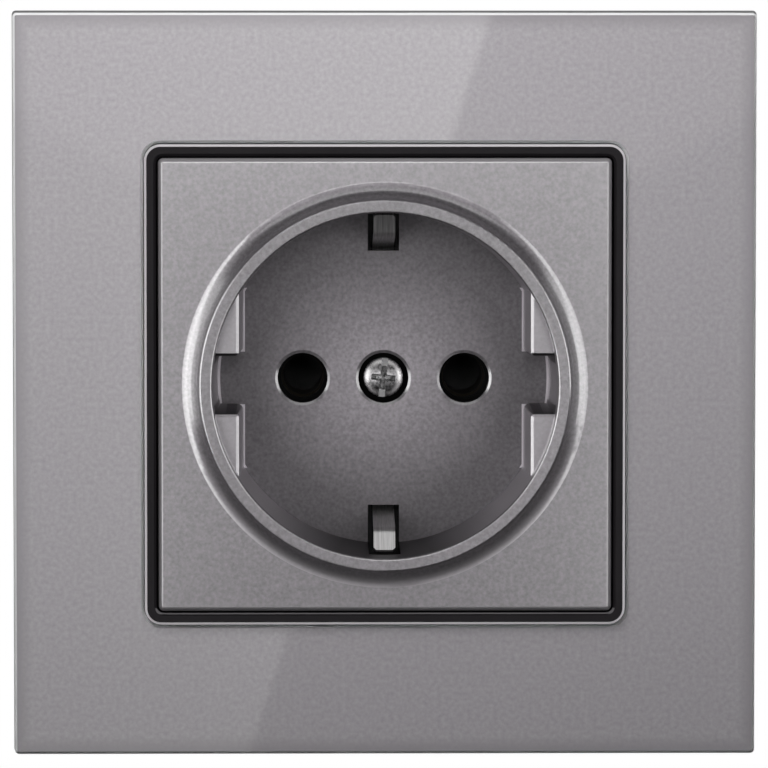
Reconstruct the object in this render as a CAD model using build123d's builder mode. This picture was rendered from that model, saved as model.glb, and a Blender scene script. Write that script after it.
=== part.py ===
from build123d import *
import math
import os

os.makedirs("parts", exist_ok=True)

# Flush-mounted earthed wall socket with a glass front panel. Sizes are in millimetres.
# X runs to the right, Z up and Y into the wall. The wall's face is Y = 0, and the room is at negative Y.

# Glass panel and the moulded carrier behind it
panel_size = 86.0
panel_corner = 0.5
carrier_depth = 4.6
carrier_sheet = 1.4
carrier_skirt = 1.6
carrier_rib = 1.2
carrier_rib_spacing = 17.0
adhesive_thickness = 0.4
adhesive_margin = 2.5
adhesive_width = 2.5
glass_thickness = 4.0
glass_reveal = 0.3
glass_bevel = 0.3

# Black bezel in the window of the glass
bezel_size = 55.3
bezel_corner = 1.9
bezel_face = 1.35
bezel_proud = 0.8
bezel_bevel = 0.28
bezel_foot = 1.0
bezel_clearance = 0.12

# Socket cover: plate, collar and well in one moulding
plate_gap = 0.25
plate_proud = 0.15
plate_thickness = 2.0
plate_corner = 0.6
plate_round = 0.5
skirt_inset = 0.2
skirt_thickness = 1.2
collar_height = 2.4
collar_cove = 2.0
rim_round = 0.22
pot_wall = 1.5
floor_radius = 19.45
mouth_flare = 0.4
well_depth = 17.5
well_floor = 2.2
back_rib = 1.0
back_rib_count = 8

# Plug guides on the wall of the well, sized at the floor. The inset is from the edge of the floor.
guide_inset = 3.0
guide_gap = 6.0
guide_setback = 2.6
guide_draft_angle = 1.3
guide_corner = 0.8
guide_bevel = 0.35
guide_bevel_depth = 0.1

# Pins of the plug, and the holes for them
pin_spacing = 19.0
pin_hole_radius = 2.94
hole_bevel = 0.35
hole_bevel_depth = 0.12

# Centre screw, its seat in the floor and its threaded insert
screw_radius = 1.5
screw_head_radius = 2.3
screw_head_height = 1.85
screw_dome_height = 0.55
screw_reach = 6.0
screw_point = 0.5
screw_slot = 0.75
screw_slot_depth = 0.75
screw_slot_turn = 5.5
screw_cross = 2.9
screw_cross_depth = 1.2
screw_cross_angle = 8.0
seat_depth = 2.1
seat_radius = 2.95
seat_floor = 1.3
seat_wall = 1.3
insert_radius = 2.5
insert_length = 6.0
insert_groove = 0.35
insert_groove_width = 2.0
screw_clearance = 0.15
close_fit = 0.05

# Earth strap, one bent strip with a spring finger at each end. The insets are from the edge of the floor.
earth_slot_width = 3.6
earth_slot_inset = 4.45
strap_thickness = 0.6
strap_web = 8.0
strap_arm = 2.5
strap_bend = 0.9
finger_width = 2.5
finger_root_inset = 3.85
finger_crest_inset = 2.25
finger_crest_setback = 8.6
finger_tip_spread = 0.1
finger_tip_setback = 7.4
finger_tip_bevel = 0.3
tab_length = 12.4
tab_gap = 0.8

# Contact sleeves, clamps and clamp screws
sleeve_radius = 2.35
sleeve_wall = 0.7
sleeve_slit = 0.8
sleeve_length = 10.0
sleeve_flare = 0.4
tab_width = 5.0
clamp_width = 7.0
clamp_length = 8.0
clamp_wall = 0.9
clamp_corner = 0.45
clamp_wire_room = 4.3
clamp_screw_room = 3.3
clamp_screw_radius = 1.75
clamp_head_radius = 2.5
clamp_head_height = 1.8
clamp_slot = 0.8
inner_clearance = 0.2

# Support plate, its slots for the screws of the wall box, and its rivets
support_margin = 1.5
support_corner = 5.0
support_thickness = 1.2
support_clearance = 0.5
relief_slot_width = 3.0
relief_slot_length = 18.0
box_screw_spacing = 60.0
box_slot_length = 7.0
box_slot_radius = 1.8
rivet_radius = 1.25
rivet_head_radius = 2.0
rivet_head_height = 0.7
rivet_head_bevel = 0.4
rivet_land = 3.4

# Moulded base and its rear cover
cup_clearance = 0.95
cup_wall = 1.9
flange_thickness = 2.0
flange_corner = 6.0
base_wall = 1.7
base_front_wall = 2.6
block_corner = 9.0
rear_cover_thickness = 2.0
rear_cover_bevel = 0.5
rear_screw_radius = 1.1
rear_screw_head_radius = 2.0
rear_screw_head_height = 1.2
rear_screw_head_bevel = 0.4
rear_screw_slot_depth = 0.6
rear_screw_length = 8.0

# Tolerance for picking faces and edges by their place or length
same_place = 0.01

# Depths along Y, from the wall out to the rim and back in to the rear cover
carrier_front = -carrier_depth
glass_back = carrier_front - adhesive_thickness
glass_front = glass_back - glass_thickness
bezel_front = glass_front - bezel_proud
plate_front = bezel_front - plate_proud
plate_back = plate_front + plate_thickness
skirt_back = carrier_front - bezel_foot
rim_front = plate_front - collar_height
guide_front = rim_front + guide_setback
floor_front = rim_front + well_depth
floor_back = floor_front + well_floor
seat_back = floor_front + seat_depth
strap_front = seat_back + seat_floor
strap_middle = strap_front + strap_thickness / 2
base_front = strap_front + strap_thickness
pocket_front = base_front + base_front_wall
sleeve_front = pocket_front + inner_clearance
sleeve_back = sleeve_front + sleeve_length
tab_back = sleeve_front + tab_length
clamp_back = tab_back - inner_clearance
clamp_middle = clamp_back - clamp_length / 2
base_back = tab_back + base_wall
rear_cover_back = base_back + rear_cover_thickness

# Sizes across the wall that follow from the ones above
glass_size = panel_size - 2 * glass_reveal
window_size = bezel_size + 2 * bezel_clearance
window_corner = bezel_corner + bezel_clearance
bezel_opening = bezel_size - 2 * bezel_face
plate_size = bezel_opening - 2 * plate_gap
skirt_size = plate_size - 2 * skirt_inset
carrier_window = skirt_size - 2 * skirt_thickness
mouth_radius = floor_radius + mouth_flare
rim_radius = mouth_radius + pot_wall
pot_radius = floor_radius + pot_wall
collar_radius = rim_radius + collar_cove
guide_root_radius = mouth_radius + pot_wall / 2
guide_spacing = 2 * (floor_radius - guide_inset)
earth_slot_start = floor_radius - earth_slot_inset
finger_root = floor_radius - finger_root_inset
finger_crest = floor_radius - finger_crest_inset
finger_tip = floor_radius + finger_tip_spread
support_size = box_screw_spacing + box_slot_length + 2 * support_margin
support_hole_radius = rim_radius + support_clearance
cup_radius = rim_radius + cup_clearance
cup_outer_radius = cup_radius + cup_wall
rivet_reach = cup_outer_radius + rivet_head_radius + inner_clearance
rivet_offset = rivet_reach * math.cos(math.radians(45))
flange_size = 2 * (rivet_offset + rivet_land)
pin_offset = pin_spacing / 2

# The clamps lie above and below the sleeves, with their screws outermost
sleeve_outer_radius = sleeve_radius + sleeve_wall
pin_entry_radius = sleeve_radius + inner_clearance
clamp_inner = sleeve_outer_radius + clamp_wall + base_wall - inner_clearance
tab_offset = clamp_inner + clamp_wall + clamp_wire_room + strap_thickness / 2
clamp_outer = tab_offset + strap_thickness / 2 + clamp_screw_room + clamp_wall
clamp_offset = (clamp_inner + clamp_outer) / 2
clamp_height = clamp_outer - clamp_inner
clamp_head_outer = clamp_outer + inner_clearance + clamp_head_height
block_half = clamp_head_outer + inner_clearance + base_wall
block_size = 2 * block_half
wire_offset = clamp_inner + clamp_wall + clamp_wire_room / 2
earth_offset = strap_web / 4 + tab_gap + tab_width / 2
pocket_width = clamp_width + 2 * inner_clearance
rear_screw_places = [(-pin_offset, clamp_offset), (0, -clamp_offset)]
clamp_places = {"left": (-pin_offset, -1), "right": (pin_offset, -1), "earth": (earth_offset, 1)}


def facing_room(depth, x=0, z=0):
    """A plane parallel to the wall at this depth, with local axes X and Z, that extrudes to the room."""
    return Plane(origin=(x, depth, z), x_dir=(1, 0, 0), z_dir=(0, -1, 0))


def facing_wall(depth, x=0, z=0):
    """The same plane turned round: its local x is -X, and it extrudes into the wall."""
    return Plane(origin=(x, depth, z), x_dir=(-1, 0, 0), z_dir=(0, 1, 0))


def facing_out(clamp_x, side, height):
    """A plane over the middle of a clamp at this height, above (side 1) or below (side -1), facing away."""
    return Plane(origin=(clamp_x, clamp_middle, side * height), x_dir=(1, 0, 0), z_dir=(0, 0, side))


# Glass panel with a window and a polished bevel on its front edges
with BuildPart() as glass_panel:
    with BuildSketch(facing_room(glass_back)):
        RectangleRounded(glass_size, glass_size, panel_corner)
        RectangleRounded(window_size, window_size, window_corner, mode=Mode.SUBTRACT)
    extrude(amount=glass_thickness)
    chamfer(glass_panel.faces().sort_by(Axis.Y)[0].edges(), glass_bevel)
glass_panel.part.label = "glass_panel"
export_step(glass_panel.part, "parts/glass_panel.step")

# Two runs of bonding tape that hold the glass on its carrier, along its outer edge and round its window
outer_tape = glass_size - 2 * adhesive_margin
window_tape = window_size + 2 * (adhesive_margin + adhesive_width)
with BuildPart() as glass_adhesive:
    for tape_size in (outer_tape, window_tape):
        tape_inside = tape_size - 2 * adhesive_width
        with BuildSketch(facing_room(carrier_front)):
            Rectangle(tape_size, tape_size)
            Rectangle(tape_inside, tape_inside, mode=Mode.SUBTRACT)
        extrude(amount=adhesive_thickness)
glass_adhesive.part.label = "glass_adhesive"
export_step(glass_adhesive.part, "parts/glass_adhesive.step")

# Carrier: a tray with an outer skirt on the wall, an inner skirt on the support plate, and ribs between
inner_skirt_size = carrier_window + 2 * carrier_skirt
outer_skirt_inside = panel_size - 2 * carrier_skirt
carrier_rib_length = (outer_skirt_inside - inner_skirt_size) / 2 + carrier_skirt
with BuildPart() as panel_carrier:
    with BuildSketch(facing_room(0)):
        RectangleRounded(panel_size, panel_size, panel_corner)
        Rectangle(carrier_window, carrier_window, mode=Mode.SUBTRACT)
    extrude(amount=carrier_depth)
    with BuildSketch(facing_room(0)):
        Rectangle(outer_skirt_inside, outer_skirt_inside)
        Rectangle(inner_skirt_size, inner_skirt_size, mode=Mode.SUBTRACT)
    extrude(amount=carrier_depth - carrier_sheet, mode=Mode.SUBTRACT)
    with BuildSketch(facing_room(0)):
        with PolarLocations((outer_skirt_inside + inner_skirt_size) / 4, 4):
            with GridLocations(0, carrier_rib_spacing, 1, 3):
                Rectangle(carrier_rib_length, carrier_rib)
    extrude(amount=carrier_depth - carrier_sheet / 2)
    with BuildSketch(facing_room(0)):
        Rectangle(support_size + 2 * support_clearance, support_size + 2 * support_clearance)
    extrude(amount=support_thickness, mode=Mode.SUBTRACT)
panel_carrier.part.label = "panel_carrier"
export_step(panel_carrier.part, "parts/panel_carrier.step")

# Bezel: a black frame that lines the window, with a foot that the cover clamps to the carrier
with BuildPart() as window_bezel:
    with BuildSketch(facing_room(carrier_front)):
        RectangleRounded(bezel_size, bezel_size, bezel_corner)
        RectangleRounded(bezel_opening, bezel_opening, plate_corner + plate_gap, mode=Mode.SUBTRACT)
    extrude(amount=carrier_front - bezel_front)
    chamfer(window_bezel.faces().sort_by(Axis.Y)[0].edges(), bezel_bevel)
    with BuildSketch(facing_room(carrier_front)):
        RectangleRounded(bezel_size, bezel_size, bezel_corner)
        Rectangle(carrier_window, carrier_window, mode=Mode.SUBTRACT)
    extrude(amount=bezel_foot)
window_bezel.part.label = "window_bezel"
export_step(window_bezel.part, "parts/window_bezel.step")

# Socket cover: square plate with a skirt, coved collar, drafted well, plug guides and slots
with BuildPart() as socket_cover:
    with BuildSketch(facing_room(plate_back)):
        RectangleRounded(plate_size, plate_size, plate_corner)
    extrude(amount=plate_thickness)
    fillet(socket_cover.faces().sort_by(Axis.Y)[0].edges(), plate_round)
    with BuildSketch(facing_room(skirt_back)):
        RectangleRounded(skirt_size, skirt_size, plate_corner)
        Rectangle(carrier_window, carrier_window, mode=Mode.SUBTRACT)
    extrude(amount=skirt_back - plate_back)

    # Collar and pot, turned about the axis of the well
    with BuildSketch(Plane.XY):
        with BuildLine():
            rim_line = Line((0, rim_front), (rim_radius, rim_front))
            neck = Line(rim_line @ 1, (rim_radius, plate_front - collar_cove))
            cove = RadiusArc(neck @ 1, (collar_radius, plate_front), collar_cove)
            Polyline(
                cove @ 1,
                (collar_radius, plate_back),
                (rim_radius, plate_back),
                (pot_radius, floor_back),
                (0, floor_back),
                rim_line @ 0,
            )
        make_face()
    revolve(axis=Axis.Y)
    with BuildSketch(Plane.XY):
        with BuildLine():
            Polyline(
                (0, rim_front),
                (mouth_radius, rim_front),
                (floor_radius, floor_front),
                (0, floor_front),
                close=True,
            )
        make_face()
    revolve(axis=Axis.Y, mode=Mode.SUBTRACT)
    fillet(socket_cover.faces().sort_by(Axis.Y)[0].edges(), rim_round)

    # Four plug guides, two on each side, with draft and a round corner beside the gap
    with BuildSketch(facing_room(floor_front)) as guides:
        Circle(guide_root_radius)
        Rectangle(guide_spacing, 2 * rim_radius, mode=Mode.SUBTRACT)
        Rectangle(2 * rim_radius, guide_gap, mode=Mode.SUBTRACT)
        fillet(guides.vertices().group_by(SortBy.DISTANCE)[0], guide_corner)
    extrude(amount=floor_front - guide_front, taper=guide_draft_angle)
    guide_fronts = socket_cover.faces().filter_by_position(
        Axis.Y, guide_front - same_place, guide_front + same_place
    )
    for guide_face in guide_fronts:
        inner_edge = guide_face.edges().filter_by(Axis.Z)
        chamfer(inner_edge, guide_bevel, guide_bevel_depth, reference=guide_face)

    # Slots for the earth fingers, through the floor and up the wall to the back of the plate
    with BuildSketch(facing_room(floor_back)):
        for side in (-1, 1):
            with Locations((0, side * (earth_slot_start + rim_radius) / 2)):
                Rectangle(earth_slot_width, rim_radius - earth_slot_start)
    extrude(amount=floor_back - plate_back, mode=Mode.SUBTRACT)

    # Cup behind the floor for the centre screw, and the pin holes
    with BuildSketch(facing_room(strap_front)):
        Circle(seat_radius + seat_wall)
    extrude(amount=strap_front - floor_back)
    with Locations(facing_room(floor_front)):
        CounterBoreHole(
            radius=screw_radius + screw_clearance,
            counter_bore_radius=seat_radius,
            counter_bore_depth=seat_depth,
            depth=seat_depth + seat_floor,
        )
        with GridLocations(pin_spacing, 0, 2, 1):
            Hole(pin_hole_radius, depth=well_floor)
    well_faces = socket_cover.faces().filter_by_position(
        Axis.Y, floor_front - same_place, floor_front + same_place
    )
    well_face = well_faces.sort_by(SortBy.AREA)[-1]
    hole_mouths = well_face.inner_wires().edges()
    chamfer(hole_mouths, hole_bevel, hole_bevel_depth, reference=well_face)

    # Stiffening ribs behind the plate, from the pot to the skirt
    rib_turn = 180 / back_rib_count
    rib_outer = (skirt_size - skirt_thickness) / 2 / math.cos(math.radians(rib_turn))
    rib_inner = rim_radius - pot_wall / 2
    with BuildSketch(facing_room(skirt_back)):
        with PolarLocations((rib_outer + rib_inner) / 2, back_rib_count, start_angle=rib_turn):
            Rectangle(rib_outer - rib_inner, back_rib)
    extrude(amount=skirt_back - plate_back)
socket_cover.part.label = "socket_cover"
export_step(socket_cover.part, "parts/socket_cover.step")

# Centre screw with a domed head, a slot and a cross recess
head_front = seat_back - screw_head_height
head_edge = head_front + screw_dome_height
dome_radius = (screw_head_radius**2 + screw_dome_height**2) / (2 * screw_dome_height)
with BuildPart() as cover_screw:
    with BuildSketch(Plane.XY):
        with BuildLine():
            dome = RadiusArc((0, head_front), (screw_head_radius, head_edge), -dome_radius)
            Polyline(
                dome @ 1,
                (screw_head_radius, seat_back),
                (screw_radius, seat_back),
                (screw_radius, base_front + screw_reach),
                (0, base_front + screw_reach),
                dome @ 0,
            )
        make_face()
    revolve(axis=Axis.Y)
    chamfer(cover_screw.faces().sort_by(Axis.Y)[-1].edges(), screw_point)
    with BuildSketch(facing_room(head_front + screw_slot_depth)):
        with Locations(Rotation(0, 0, -screw_slot_turn)):
            Rectangle(screw_slot, 3 * screw_head_radius)
    extrude(amount=screw_slot_depth, mode=Mode.SUBTRACT)
    with BuildSketch(facing_room(head_front)):
        for turn in (0, 90):
            with Locations(Rotation(0, 0, turn - screw_slot_turn)):
                Rectangle(screw_cross, screw_slot)
    extrude(amount=-screw_cross_depth, taper=screw_cross_angle, mode=Mode.SUBTRACT)
cover_screw.part.label = "cover_screw"
export_step(cover_screw.part, "parts/cover_screw.step")

# Brass insert in the base for the centre screw
with BuildPart() as screw_insert:
    with BuildSketch(facing_room(base_front + insert_length)):
        Circle(insert_radius)
        Circle(screw_radius + close_fit, mode=Mode.SUBTRACT)
    extrude(amount=insert_length)
    with BuildSketch(facing_room(base_front + (insert_length + insert_groove_width) / 2)):
        Circle(insert_radius)
        Circle(insert_radius - insert_groove, mode=Mode.SUBTRACT)
    extrude(amount=insert_groove_width, mode=Mode.SUBTRACT)
screw_insert.part.label = "screw_insert"
export_step(screw_insert.part, "parts/screw_insert.step")

# Support plate of sheet steel, with two pairs of slots at the spacing of a wall box
with BuildPart() as support_plate:
    with BuildSketch(facing_room(0)):
        RectangleRounded(support_size, support_size, support_corner)
        Circle(support_hole_radius, mode=Mode.SUBTRACT)
        with PolarLocations(box_screw_spacing / 2, 4):
            SlotOverall(box_slot_length, 2 * box_slot_radius, mode=Mode.SUBTRACT)
        with GridLocations(2 * rivet_offset, 2 * rivet_offset, 2, 2):
            Circle(rivet_radius + close_fit, mode=Mode.SUBTRACT)
        with PolarLocations(rivet_reach + rivet_head_radius + relief_slot_width, 4, start_angle=45):
            SlotOverall(relief_slot_length, relief_slot_width, rotation=90, mode=Mode.SUBTRACT)
    extrude(amount=support_thickness)
support_plate.part.label = "support_plate"
export_step(support_plate.part, "parts/support_plate.step")

# Rivets that hold the flange of the base behind the support plate
with BuildPart() as plate_rivets:
    with BuildSketch(facing_room(-support_thickness)):
        with GridLocations(2 * rivet_offset, 2 * rivet_offset, 2, 2):
            Circle(rivet_head_radius)
    extrude(amount=rivet_head_height)
    with BuildSketch(facing_room(flange_thickness)):
        with GridLocations(2 * rivet_offset, 2 * rivet_offset, 2, 2):
            Circle(rivet_radius)
    extrude(amount=flange_thickness + support_thickness)
    with BuildSketch(facing_room(flange_thickness + rivet_head_height)):
        with GridLocations(2 * rivet_offset, 2 * rivet_offset, 2, 2):
            Circle(rivet_head_radius)
    extrude(amount=rivet_head_height)
    chamfer(plate_rivets.faces().filter_by(Axis.Y).group_by(Axis.Y)[0].edges(), rivet_head_bevel)
    chamfer(plate_rivets.faces().filter_by(Axis.Y).group_by(Axis.Y)[-1].edges(), rivet_head_bevel)
plate_rivets.part.label = "plate_rivets"
export_step(plate_rivets.part, "parts/plate_rivets.step")

# Moulded base: a flange, a cup round the well and a block with pockets that open to the rear
with BuildPart() as socket_base:
    with BuildSketch(facing_wall(0)):
        RectangleRounded(flange_size, flange_size, flange_corner)
    extrude(amount=flange_thickness)
    with BuildSketch(facing_wall(0)):
        Circle(cup_outer_radius)
    extrude(amount=pocket_front)
    with BuildSketch(facing_wall(base_front)):
        RectangleRounded(block_size, block_size, block_corner)
    extrude(amount=base_back - base_front)
    with BuildSketch(facing_room(base_front)):
        Circle(cup_radius)
    extrude(amount=base_front, mode=Mode.SUBTRACT)
    with BuildSketch(facing_room(flange_thickness)):
        with GridLocations(2 * rivet_offset, 2 * rivet_offset, 2, 2):
            Circle(rivet_radius + close_fit)
    extrude(amount=flange_thickness, mode=Mode.SUBTRACT)

    # Pockets for the two sleeves with their clamps, and for the earth clamp
    pole_bottom = clamp_head_outer + inner_clearance
    pole_top = sleeve_outer_radius + inner_clearance
    with BuildSketch(facing_room(base_back)):
        with GridLocations(pin_spacing, 0, 2, 1):
            with Locations((0, (pole_top - pole_bottom) / 2)):
                Rectangle(pocket_width, pole_top + pole_bottom)
        with Locations((earth_offset, (pole_bottom + clamp_inner - inner_clearance) / 2)):
            Rectangle(pocket_width, pole_bottom - clamp_inner + inner_clearance)
    extrude(amount=base_back - pocket_front, mode=Mode.SUBTRACT)

    # Entries for the plug's pins, the slot for the earth tab and the seat of the insert
    with Locations(facing_room(base_front)):
        with GridLocations(pin_spacing, 0, 2, 1):
            Hole(pin_entry_radius, depth=base_front_wall)
        Hole(insert_radius + close_fit, depth=screw_reach + inner_clearance)
    with BuildSketch(facing_room(pocket_front)):
        with Locations((earth_offset, tab_offset - strap_bend)):
            Rectangle(tab_width + 2 * inner_clearance, 2 * (strap_bend + strap_thickness))
    extrude(amount=base_front_wall, mode=Mode.SUBTRACT)

    # Access holes for a screwdriver, and holes for the screws of the rear cover
    for clamp_x, side in clamp_places.values():
        with Locations(facing_out(clamp_x, side, block_half)):
            Hole(clamp_head_radius + inner_clearance, depth=base_wall)
    with Locations(facing_wall(base_back)):
        for screw_x, screw_z in rear_screw_places:
            with Locations((-screw_x, screw_z)):
                Hole(rear_screw_radius + close_fit, depth=rear_screw_length)
socket_base.part.label = "socket_base"
export_step(socket_base.part, "parts/socket_base.step")

# Rear cover with a window for each wire
with BuildPart() as rear_cover:
    with BuildSketch(facing_wall(base_back)):
        RectangleRounded(block_size, block_size, block_corner)
    extrude(amount=rear_cover_thickness)
    chamfer(rear_cover.faces().sort_by(Axis.Y)[-1].edges(), rear_cover_bevel)
    with BuildSketch(facing_room(rear_cover_back)):
        for clamp_x, side in clamp_places.values():
            with Locations((clamp_x, side * wire_offset)):
                RectangleRounded(tab_width, clamp_wire_room + inner_clearance, rear_cover_bevel)
        for screw_place in rear_screw_places:
            with Locations(screw_place):
                Circle(rear_screw_radius + screw_clearance)
    extrude(amount=rear_cover_thickness, mode=Mode.SUBTRACT)
rear_cover.part.label = "rear_cover"
export_step(rear_cover.part, "parts/rear_cover.step")

# Screws of the rear cover
with BuildPart() as rear_cover_screws:
    with BuildSketch(facing_wall(rear_cover_back)):
        for screw_x, screw_z in rear_screw_places:
            with Locations((-screw_x, screw_z)):
                Circle(rear_screw_head_radius)
    extrude(amount=rear_screw_head_height)
    chamfer(rear_cover_screws.faces().group_by(Axis.Y)[-1].edges(), rear_screw_head_bevel)
    with BuildSketch(facing_room(rear_cover_back)):
        for screw_place in rear_screw_places:
            with Locations(screw_place):
                Circle(rear_screw_radius)
    extrude(amount=rear_screw_length)
    with BuildSketch(facing_wall(rear_cover_back + rear_screw_head_height - rear_screw_slot_depth)):
        for screw_x, screw_z in rear_screw_places:
            with Locations((-screw_x, screw_z)):
                Rectangle(2 * rear_screw_head_radius, clamp_slot)
    extrude(amount=rear_screw_slot_depth, mode=Mode.SUBTRACT)
rear_cover_screws.part.label = "rear_cover_screws"
export_step(rear_cover_screws.part, "parts/rear_cover_screws.step")

# Earth strap: a web behind the floor, a spring finger at each end and a tab for the earth clamp
finger_tip_depth = rim_front + finger_tip_setback
finger_crest_depth = rim_front + finger_crest_setback
with BuildPart() as earth_strap:
    with BuildSketch(Plane.YZ):
        with BuildLine():
            FilletPolyline(
                (finger_tip_depth, finger_tip),
                (finger_crest_depth, finger_crest),
                (strap_middle, finger_root),
                (strap_middle, -finger_root),
                (finger_crest_depth, -finger_crest),
                (finger_tip_depth, -finger_tip),
                radius=strap_bend,
            )
        trace(line_width=strap_thickness)
    extrude(amount=finger_width / 2, both=True)
    strip_ends = earth_strap.edges().filter_by(lambda edge: abs(edge.length - strap_thickness) < same_place)
    chamfer(strip_ends, finger_tip_bevel)
    arm_outer = tab_offset - strap_bend - strap_thickness
    arm_length = earth_offset + tab_width / 2
    with BuildSketch(facing_room(base_front)):
        Circle(strap_web / 2)
        Rectangle(strap_web / 2, 2 * (finger_root - 2 * strap_bend))
        with Locations((arm_length / 2, arm_outer - strap_arm / 2)):
            Rectangle(arm_length, strap_arm)
    extrude(amount=strap_thickness)
    with BuildSketch(Plane.YZ.offset(earth_offset)):
        with BuildLine():
            FilletPolyline(
                (strap_middle, arm_outer - strap_arm),
                (strap_middle, tab_offset),
                (tab_back, tab_offset),
                radius=strap_bend,
            )
        trace(line_width=strap_thickness)
    extrude(amount=tab_width / 2, both=True)
    with Locations(facing_room(strap_front)):
        Hole(screw_radius + screw_clearance, depth=strap_thickness)
earth_strap.part.label = "earth_strap"
export_step(earth_strap.part, "parts/earth_strap.step")

# Contact sleeves: a split tube for the pin and a bent tab for the clamp
for pole, pin_x in (("left", -pin_offset), ("right", pin_offset)):
    with BuildPart() as contact:
        with BuildSketch(facing_room(sleeve_back, pin_x)):
            Circle(sleeve_outer_radius)
            Circle(sleeve_radius, mode=Mode.SUBTRACT)
            with Locations((0, sleeve_outer_radius)):
                Rectangle(sleeve_slit, 2 * sleeve_outer_radius, mode=Mode.SUBTRACT)
        extrude(amount=sleeve_length)
        front_arcs = contact.faces().sort_by(Axis.Y)[0].edges().filter_by(GeomType.CIRCLE)
        chamfer(front_arcs.sort_by(SortBy.RADIUS)[0], sleeve_flare)
        tab_front = sleeve_front + strap_thickness / 2
        with BuildSketch(Plane.YZ.offset(pin_x)):
            with BuildLine():
                FilletPolyline(
                    (tab_front, -sleeve_radius - sleeve_wall / 2),
                    (tab_front, -tab_offset),
                    (tab_back, -tab_offset),
                    radius=strap_bend,
                )
            trace(line_width=strap_thickness)
        extrude(amount=tab_width / 2, both=True)
    contact.part.label = "contact_" + pole
    export_step(contact.part, "parts/contact_" + pole + ".step")

# Clamps round the tabs, each with a screw from outside
for clamp_name, (clamp_x, side) in clamp_places.items():
    with BuildPart() as clamp:
        with BuildSketch(facing_room(clamp_back, clamp_x, side * clamp_offset)):
            Rectangle(clamp_width, clamp_height)
            Rectangle(clamp_width - 2 * clamp_wall, clamp_height - 2 * clamp_wall, mode=Mode.SUBTRACT)
        extrude(amount=clamp_length)
        outer_corners = clamp.edges().filter_by(Axis.Y).group_by(lambda edge: abs(edge.center().Z))[-1]
        fillet(outer_corners, clamp_corner)
        with Locations(facing_out(clamp_x, side, clamp_outer)):
            Hole(clamp_screw_radius + close_fit, depth=clamp_wall)
    clamp.part.label = "clamp_" + clamp_name
    export_step(clamp.part, "parts/clamp_" + clamp_name + ".step")

    with BuildPart() as clamp_screw:
        seat_plane = facing_out(clamp_x, side, clamp_outer + inner_clearance)
        with BuildSketch(seat_plane):
            Circle(clamp_head_radius)
        extrude(amount=clamp_head_height)
        with BuildSketch(seat_plane.offset(clamp_head_height - clamp_slot)):
            Rectangle(clamp_slot, 2 * clamp_head_radius)
        extrude(amount=clamp_slot, mode=Mode.SUBTRACT)
        with BuildSketch(seat_plane):
            Circle(clamp_screw_radius)
        extrude(amount=-(clamp_outer + inner_clearance - tab_offset - strap_thickness / 2))
    clamp_screw.part.label = "clamp_screw_" + clamp_name
    export_step(clamp_screw.part, "parts/clamp_screw_" + clamp_name + ".step")
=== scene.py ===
# %% [markdown]
# # A wall socket with a glass front
# The solids of the socket come in as a fixed frame, already in place and in metres. X runs to the right,
# Z up and Y into the wall, so the front faces -Y. Their shapes stay as they are, so this lesson adds the
# camera, the light and, above all, the finishes.

# %% Load the solids
import math

import bmesh
import bpy
from mathutils import Matrix, Vector


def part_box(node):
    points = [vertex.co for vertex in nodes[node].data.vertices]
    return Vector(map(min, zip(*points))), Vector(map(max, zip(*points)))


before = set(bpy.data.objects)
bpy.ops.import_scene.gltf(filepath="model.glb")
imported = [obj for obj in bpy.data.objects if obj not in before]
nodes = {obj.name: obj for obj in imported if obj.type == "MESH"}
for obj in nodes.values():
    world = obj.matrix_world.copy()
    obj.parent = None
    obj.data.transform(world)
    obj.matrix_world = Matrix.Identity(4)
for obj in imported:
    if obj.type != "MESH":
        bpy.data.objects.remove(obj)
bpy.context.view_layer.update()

MM = 0.001

# %% [markdown]
# ## Camera
# The photograph looks almost straight at the panel, a little from above, since the bottom of the well shows
# more wall than the top. A long lens at about 0.64 m gives the same small difference in scale between the
# rim and the floor of the well.

# %% Camera
CAMERA_PLACE = (-8.08 * MM, -640 * MM, 35.83 * MM)
CAMERA_TILT = math.radians(90 - 3.243)
CAMERA_TURN = math.radians(-0.724)
LENS = 257.5
camera_data = bpy.data.cameras.new("camera")
camera = bpy.data.objects.new("camera", camera_data)
bpy.context.scene.collection.objects.link(camera)
camera.location = CAMERA_PLACE
camera.rotation_euler = (CAMERA_TILT, 0, CAMERA_TURN)
camera_data.sensor_fit = "HORIZONTAL"
camera_data.sensor_width = 36
camera_data.lens = LENS
camera_data.clip_start = 0.01
camera_data.clip_end = 20
bpy.context.scene.camera = camera
bpy.context.scene.view_settings.view_transform = "Standard"
print("camera", tuple(round(v, 4) for v in camera.location), "lens", camera_data.lens)

# %% [markdown]
# ## Helpers for nodes
# The world, the floor, one lamp and every finish are small node trees. Each could be wired by hand, but a
# few helpers make the wiring read like arithmetic: each takes the owner of the tree and gives back a socket.
# A mask is a value of 1 where something is and 0 elsewhere, with a short ramp at its edge.


# %% Helpers for nodes
def add_node(owner, kind, values=None, **settings):
    """A node in the owner's tree, with its settings and the values of its inputs."""
    node = owner.node_tree.nodes.new(kind)
    for key, value in settings.items():
        setattr(node, key, value)
    for key, value in (values or {}).items():
        node.inputs[key].default_value = value
    return node


def join(owner, source, target):
    """Wire an output to an input. A plain number is set on the input itself."""
    if isinstance(source, (int, float)):
        target.default_value = source
    else:
        owner.node_tree.links.new(source, target)


def compute(owner, operation, first, second=0):
    """One step of arithmetic on two values."""
    node = add_node(owner, "ShaderNodeMath", operation=operation)
    join(owner, first, node.inputs[0])
    join(owner, second, node.inputs[1])
    return node.outputs[0]


def spread(owner, value, low, high, start=0.0, end=1.0, smooth=False):
    """Map a value from the range start to end onto the range low to high."""
    node = add_node(owner, "ShaderNodeMapRange", {"From Min": start, "From Max": end})
    if smooth:
        node.interpolation_type = "SMOOTHSTEP"
    join(owner, value, node.inputs["Value"])
    join(owner, low, node.inputs["To Min"])
    join(owner, high, node.inputs["To Max"])
    return node.outputs["Result"]


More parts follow.
